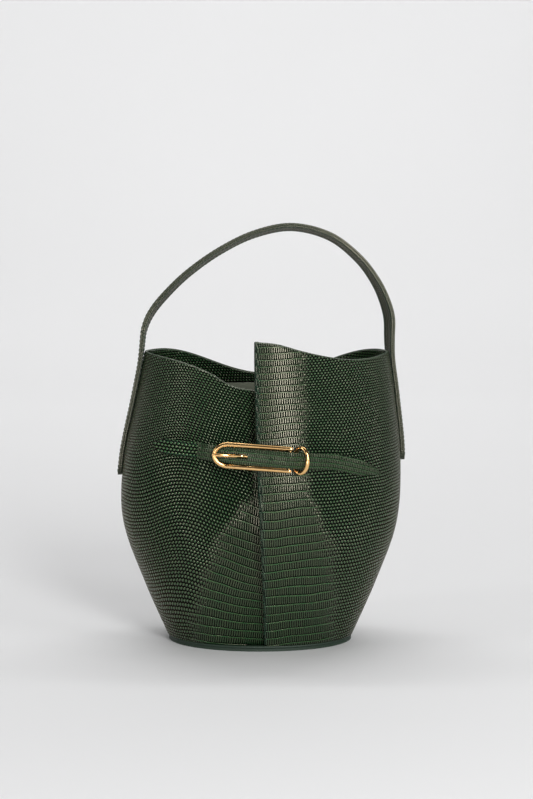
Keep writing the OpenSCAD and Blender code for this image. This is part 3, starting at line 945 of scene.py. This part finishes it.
def belt_piece(name, start, end, count):
    """The strap between two shares of its path, with long rows on it right of its sewn end."""
    sections = []
    uv = []
    edge = []
    belly = []
    for p, _, out in belt_frames(start, end, count):
        half = max(0.5, belt_half(p[0]))
        cut = strap_section(half, -BELT_T / 2, BELT_T / 2, 0.6, 0.35)
        plan = p + out * cut[:, 1:]
        sections.append(to_bag(np.column_stack([plan, cut[:, 0] - droop(p[0])])))
        uv.append(np.column_stack([np.full(len(cut), 1.03 * p[0]), cut[:, 0] + 0.4]))
        edge.append(np.clip((np.abs(cut[:, 0]) - half + 0.25) / 0.25, 0, 1))
        belly.append(np.full(len(cut), 1.0 if p[0] > -51 else 0.0))
    uv = np.array(uv)
    uv = np.concatenate([uv, uv[:, :1]], axis=1)
    edge = np.array(edge)
    obj = loft(name, np.array(sections), uv,
               attributes={"belly": np.array(belly), "fold": np.zeros_like(edge), "edge": edge})
    return obj


def share_at(x):
    """Share of the belt's path at which it reaches x."""
    u = np.linspace(0, 1, 2001)
    return float(np.interp(x, spline(BELT_PATH, u)[:, 0], u))


def cut_opening(strap, x, length, height, floor_y):
    """Cuts an opening with round ends into the strap, its middle at x along the belt, as deep as floor_y."""
    sides = 32
    front_y_of_cut = -102
    turn = np.arange(sides) / sides * 2 * math.pi
    across = x + np.sign(np.cos(turn)) * (length - height) / 2 + np.cos(turn) * height / 2
    up = np.sin(turn) * height / 2
    sections = [to_bag(np.column_stack([across, np.full(sides, y), up])) for y in (floor_y, front_y_of_cut)]
    cutter = face_outward(loft("cutter", np.array(sections)))
    opening = face_outward(strap).modifiers.new("opening", "BOOLEAN")
    opening.operation = "DIFFERENCE"
    opening.object = cutter
    bpy.context.view_layer.objects.active = strap
    bpy.ops.object.modifier_apply(modifier=opening.name)
    bpy.data.objects.remove(cutter, do_unlink=True)


def belt():
    """The strap in two pieces, which meet where it passes behind the round end of the frame."""
    toe_u = share_at(-33)
    left = belt_piece("belt_sewn_part", 0, toe_u, 70)
    finish_piece(left, strap_lizard, "leather", None, "belt_strap")
    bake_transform(left)
    right = belt_piece("belt_free_part", toe_u, 1, 190)
    cut_opening(right, *PRONG_SLOT)
    cut_opening(right, *SPARE_HOLE)
    finish_piece(right, strap_lizard, "leather", None, "belt_strap")
    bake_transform(right)


def belt_stitches():
    """Thread along both edges of the belt's sewn end."""
    places = []
    for s in np.linspace(0.035, 0.2, 11):
        p, d, out = belt_frames(s, s, 1)[0]
        along = to_bag_direction([d[0], d[1], 0])
        normal = to_bag_direction([out[0], out[1], 0])
        for side in (-1, 1):
            face = [p[0] + out[0] * (BELT_T / 2 + 0.2), p[1] + out[1] * (BELT_T / 2 + 0.2),
                    side * (belt_half(p[0]) - 1.7)]
            places.append((to_bag(face), along, normal))
    obj = stitches("belt_thread", places, 2.2, 0.45)
    return finish_piece(obj, thread, "thread", "bag", "belt_stitches")


# ---- Buckle ---------------------------------------------------------------------------------------


def swept(name, path, sides, radius_in, radius_out, closed=False, across=None):
    """A rod along path in the belt's level layout. radius_out is measured along the direction across, and
    radius_in square to it."""
    path = np.asarray(path, float)
    count = len(path)
    turn = np.arange(sides) / sides * 2 * math.pi
    sections = []
    for i in range(count):
        if closed:
            d = unit(path[(i + 1) % count] - path[i - 1])
        else:
            d = unit(path[min(count - 1, i + 1)] - path[max(0, i - 1)])
        out = across[i] if np.ndim(across) == 2 else across
        side = unit(np.cross(d, out))
        scale = 1.0
        if not closed:
            rest = min(i, count - 1 - i)
            scale = [0.55, 0.85, 1.0][min(rest, 2)]
        ring = (path[i] + np.cos(turn)[:, None] * side * radius_in * scale
                + np.sin(turn)[:, None] * np.asarray(out) * radius_out * scale)
        sections.append(to_bag(ring))
    return loft(name, np.array(sections), closed=closed)


def buckle_frame():
    """A long U of polished rod, a little wider than deep: a half-oval end and two straight arms."""
    toe_x = -25.5
    reach = 11.5
    half = ROD_GAP / 2
    end_x = PIN[0] + 1.8
    y = PIN[1]
    arm = [end_x, end_x - 0.15, end_x - 0.5, end_x - 2] + list(np.linspace(end_x - 4, toe_x, 20))
    path = [[x, y, half] for x in arm]
    for a in np.linspace(90, 270, 49)[1:-1]:
        r = math.radians(a)
        path.append([toe_x + reach * math.cos(r), y, half * math.sin(r)])
    path += [[x, y, -half] for x in reversed(arm)]
    obj = swept("buckle_frame_rod", path, 20, 1.85, ROD_D / 2 * 0.96, across=np.array([0.0, -1.0, 0.0]))
    return finish_piece(obj, gold, "gold", "buckle", "buckle_frame")


PRONG_PATH = [[PIN[0] - 1.5, PIN[1]], [14, -92.1], [2, -91.6], [-10, -90.4], [-15, -90.4], [-20, -92.1],
              [-26, -94.2], [-33, -95], [-38.8, -95]]


def buckle_prong():
    """A flat prong that turns on the pin, runs behind the strap and rests on the round end of the frame."""
    path = []
    normals = []
    for u in np.linspace(0, 1, 60):
        p = spline(PRONG_PATH, u)
        d = unit(spline(PRONG_PATH, min(1, u + 0.004)) - spline(PRONG_PATH, max(0, u - 0.004)))
        path.append([p[0], p[1], 0])
        normals.append([-d[1], d[0], 0])
    obj = swept("buckle_prong_rod", path, 16, 1.25, 0.72, across=np.array(normals))
    return finish_piece(obj, gold, "gold", "prong", "buckle_prong")


def keeper_ring():
    """An oval ring of wire round the strap and its loop, swung to the right."""
    swing = math.radians(KEEPER_SWING)
    centre = np.array([*KEEPER_POS, 0])
    flat = np.array([math.cos(swing), -math.sin(swing), 0]) * KEEPER_HALF[0]
    upright = np.array([0, 0, KEEPER_HALF[1]])
    side = np.array([math.sin(swing), math.cos(swing), 0])
    steps = 96
    turn = np.arange(steps) / steps * 2 * math.pi
    path = [centre + flat * math.cos(t) + upright * math.sin(t) for t in turn]
    obj = swept("keeper_ring_wire", path, 20, KEEPER_D / 2, KEEPER_D / 2, closed=True, across=side)
    return finish_piece(obj, gold, "gold", "keeper", "keeper_ring")


# ---- Build ----------------------------------------------------------------------------------------

front_panel()
rear_panel()
rear_facing()
lining()
base_welt()
handle_layer("handle_outer_leather", 0.05, LAYER_T, 0.25, ("handle_outer",))
handle_layer("handle_inner_leather", -LAYER_T, -0.05, 0.0,
             ("handle_inner", "handle_end_left", "handle_end_right"))
handle_stitches()
belt()
belt_stitches()
buckle_frame()
buckle_prong()
keeper_ring()

for node, material in (("base_panel", smooth_leather), ("base_board", board), ("base_lining", suede),
                       ("belt_chape", smooth_leather), ("buckle_pin", gold)):
    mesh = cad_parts[node].data
    mesh.materials.clear()
    mesh.materials.append(material)

# ---- Studio ---------------------------------------------------------------------------------------


def backdrop():
    """A seamless pale sweep: floor, wide curve and wall."""
    turn = np.linspace(0, math.pi / 2, 24)
    reach = 6.0
    radius = 1.6
    back = 2.2
    line = [(-reach, 0.0)] + [(back + radius * math.sin(a), radius * (1 - math.cos(a))) for a in turn]
    line.append((back + radius, reach))
    verts = [(x, y, z) for x in (-reach, reach) for y, z in line]
    count = len(line)
    faces = [(i, i + count, i + count + 1, i + 1) for i in range(count - 1)]
    mesh = bpy.data.meshes.new("backdrop")
    mesh.from_pydata(verts, [], faces)
    mesh.polygons.foreach_set("use_smooth", [True] * len(mesh.polygons))
    obj = bpy.data.objects.new("backdrop", mesh)
    bpy.context.scene.collection.objects.link(obj)
    n = Nodes("paper")
    tone = n.noise(n.place(), 1.5, 1.0)
    n.set(n.shader.inputs["Base Color"], n.mix(color(0.80, 0.80, 0.805), color(0.83, 0.83, 0.835), tone))
    n.shader.inputs["Roughness"].default_value = 0.9
    obj.data.materials.append(n.material)


def area_light(name, place, target, size, power):
    data = bpy.data.lights.new(name, "AREA")
    data.shape = "RECTANGLE"
    data.size, data.size_y = size
    data.energy = power
    obj = bpy.data.objects.new(name, data)
    obj.location = place
    obj.rotation_euler = (Vector(target) - Vector(place)).to_track_quat("-Z", "Y").to_euler()
    bpy.context.scene.collection.objects.link(obj)


# Each light's name, place, target and size in metres, and its power in watts
LIGHTS = [("key", (0.66, -2.05, 0.85), (0, 0, 0.17), (0.5, 1.3), 34),
          ("side", (-1.8, -0.8, 0.8), (0, 0, 0.15), (0.3, 1.2), 5),
          ("low", (-0.34, -1.0, 0.075), (-0.02, 0, 0.05), (0.45, 0.13), 1.2),
          ("fill", (1.6, -1.2, 0.8), (0, 0, 0.15), (0.4, 1.4), 7),
          ("top", (0, 0.3, 2.4), (0, 0.2, 0), (2.6, 1.6), 15),
          ("wash", (0, 1.4, 3.4), (0, 3.8, 0.9), (4.5, 0.8), 98)]


def studio():
    world = bpy.data.worlds.new("studio")
    world.use_nodes = True
    world.node_tree.nodes["Background"].inputs[0].default_value = (1, 1, 1, 1)
    world.node_tree.nodes["Background"].inputs[1].default_value = 0.09
    bpy.context.scene.world = world
    for light in LIGHTS:
        area_light(*light)
    bpy.context.scene.view_settings.view_transform = "Standard"


def camera():
    data = bpy.data.cameras.new("camera")
    data.lens = 95.6
    data.sensor_width = 36
    obj = bpy.data.objects.new("camera", data)
    place = Vector((0.0055, -1.8, 0.40))
    target = Vector((0.0055, 0, 0.206))
    obj.location = place
    obj.rotation_euler = (target - place).to_track_quat("-Z", "Y").to_euler()
    bpy.context.scene.collection.objects.link(obj)
    bpy.context.scene.camera = obj


backdrop()
studio()
camera()
